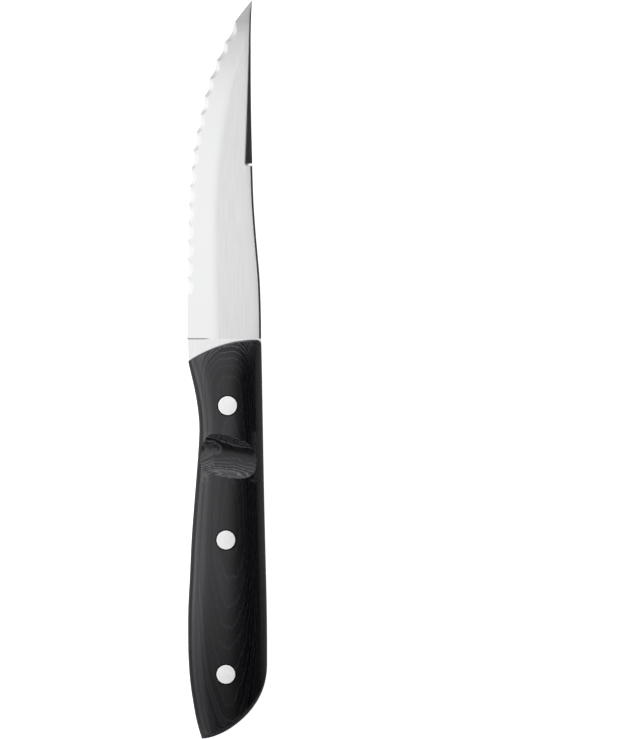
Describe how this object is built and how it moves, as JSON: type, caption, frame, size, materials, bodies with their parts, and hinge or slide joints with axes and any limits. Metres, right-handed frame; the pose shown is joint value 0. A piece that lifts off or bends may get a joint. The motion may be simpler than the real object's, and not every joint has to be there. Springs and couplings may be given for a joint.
{
  "type": "steak knife",
  "caption": "Full-tang steak knife with a serrated upswept blade, two dark riveted wood scales and a thumb scoop.",
  "frame": {"origin": "middle of the bounding box in plan, on the surface that the back scale lies on", "axes": "+Y from the butt to the point, +X from the cutting edge to the spine, +Z out of the front scale"},
  "size_m": [0.0256, 0.235, 0.0153],
  "materials": {
    "blade_steel": "brushed",
    "scale_wood": "satin",
    "rivet_steel": "satin"
  },
  "bodies": {
    "root": {"blade": "blade_steel", "front_scale": "scale_wood", "back_scale": "scale_wood", "rivet_tube_1": "rivet_steel", "rivet_tube_2": "rivet_steel", "rivet_tube_3": "rivet_steel", "rivet_pin_1": "rivet_steel", "rivet_pin_2": "rivet_steel", "rivet_pin_3": "rivet_steel"}
  },
  "joints": []
}
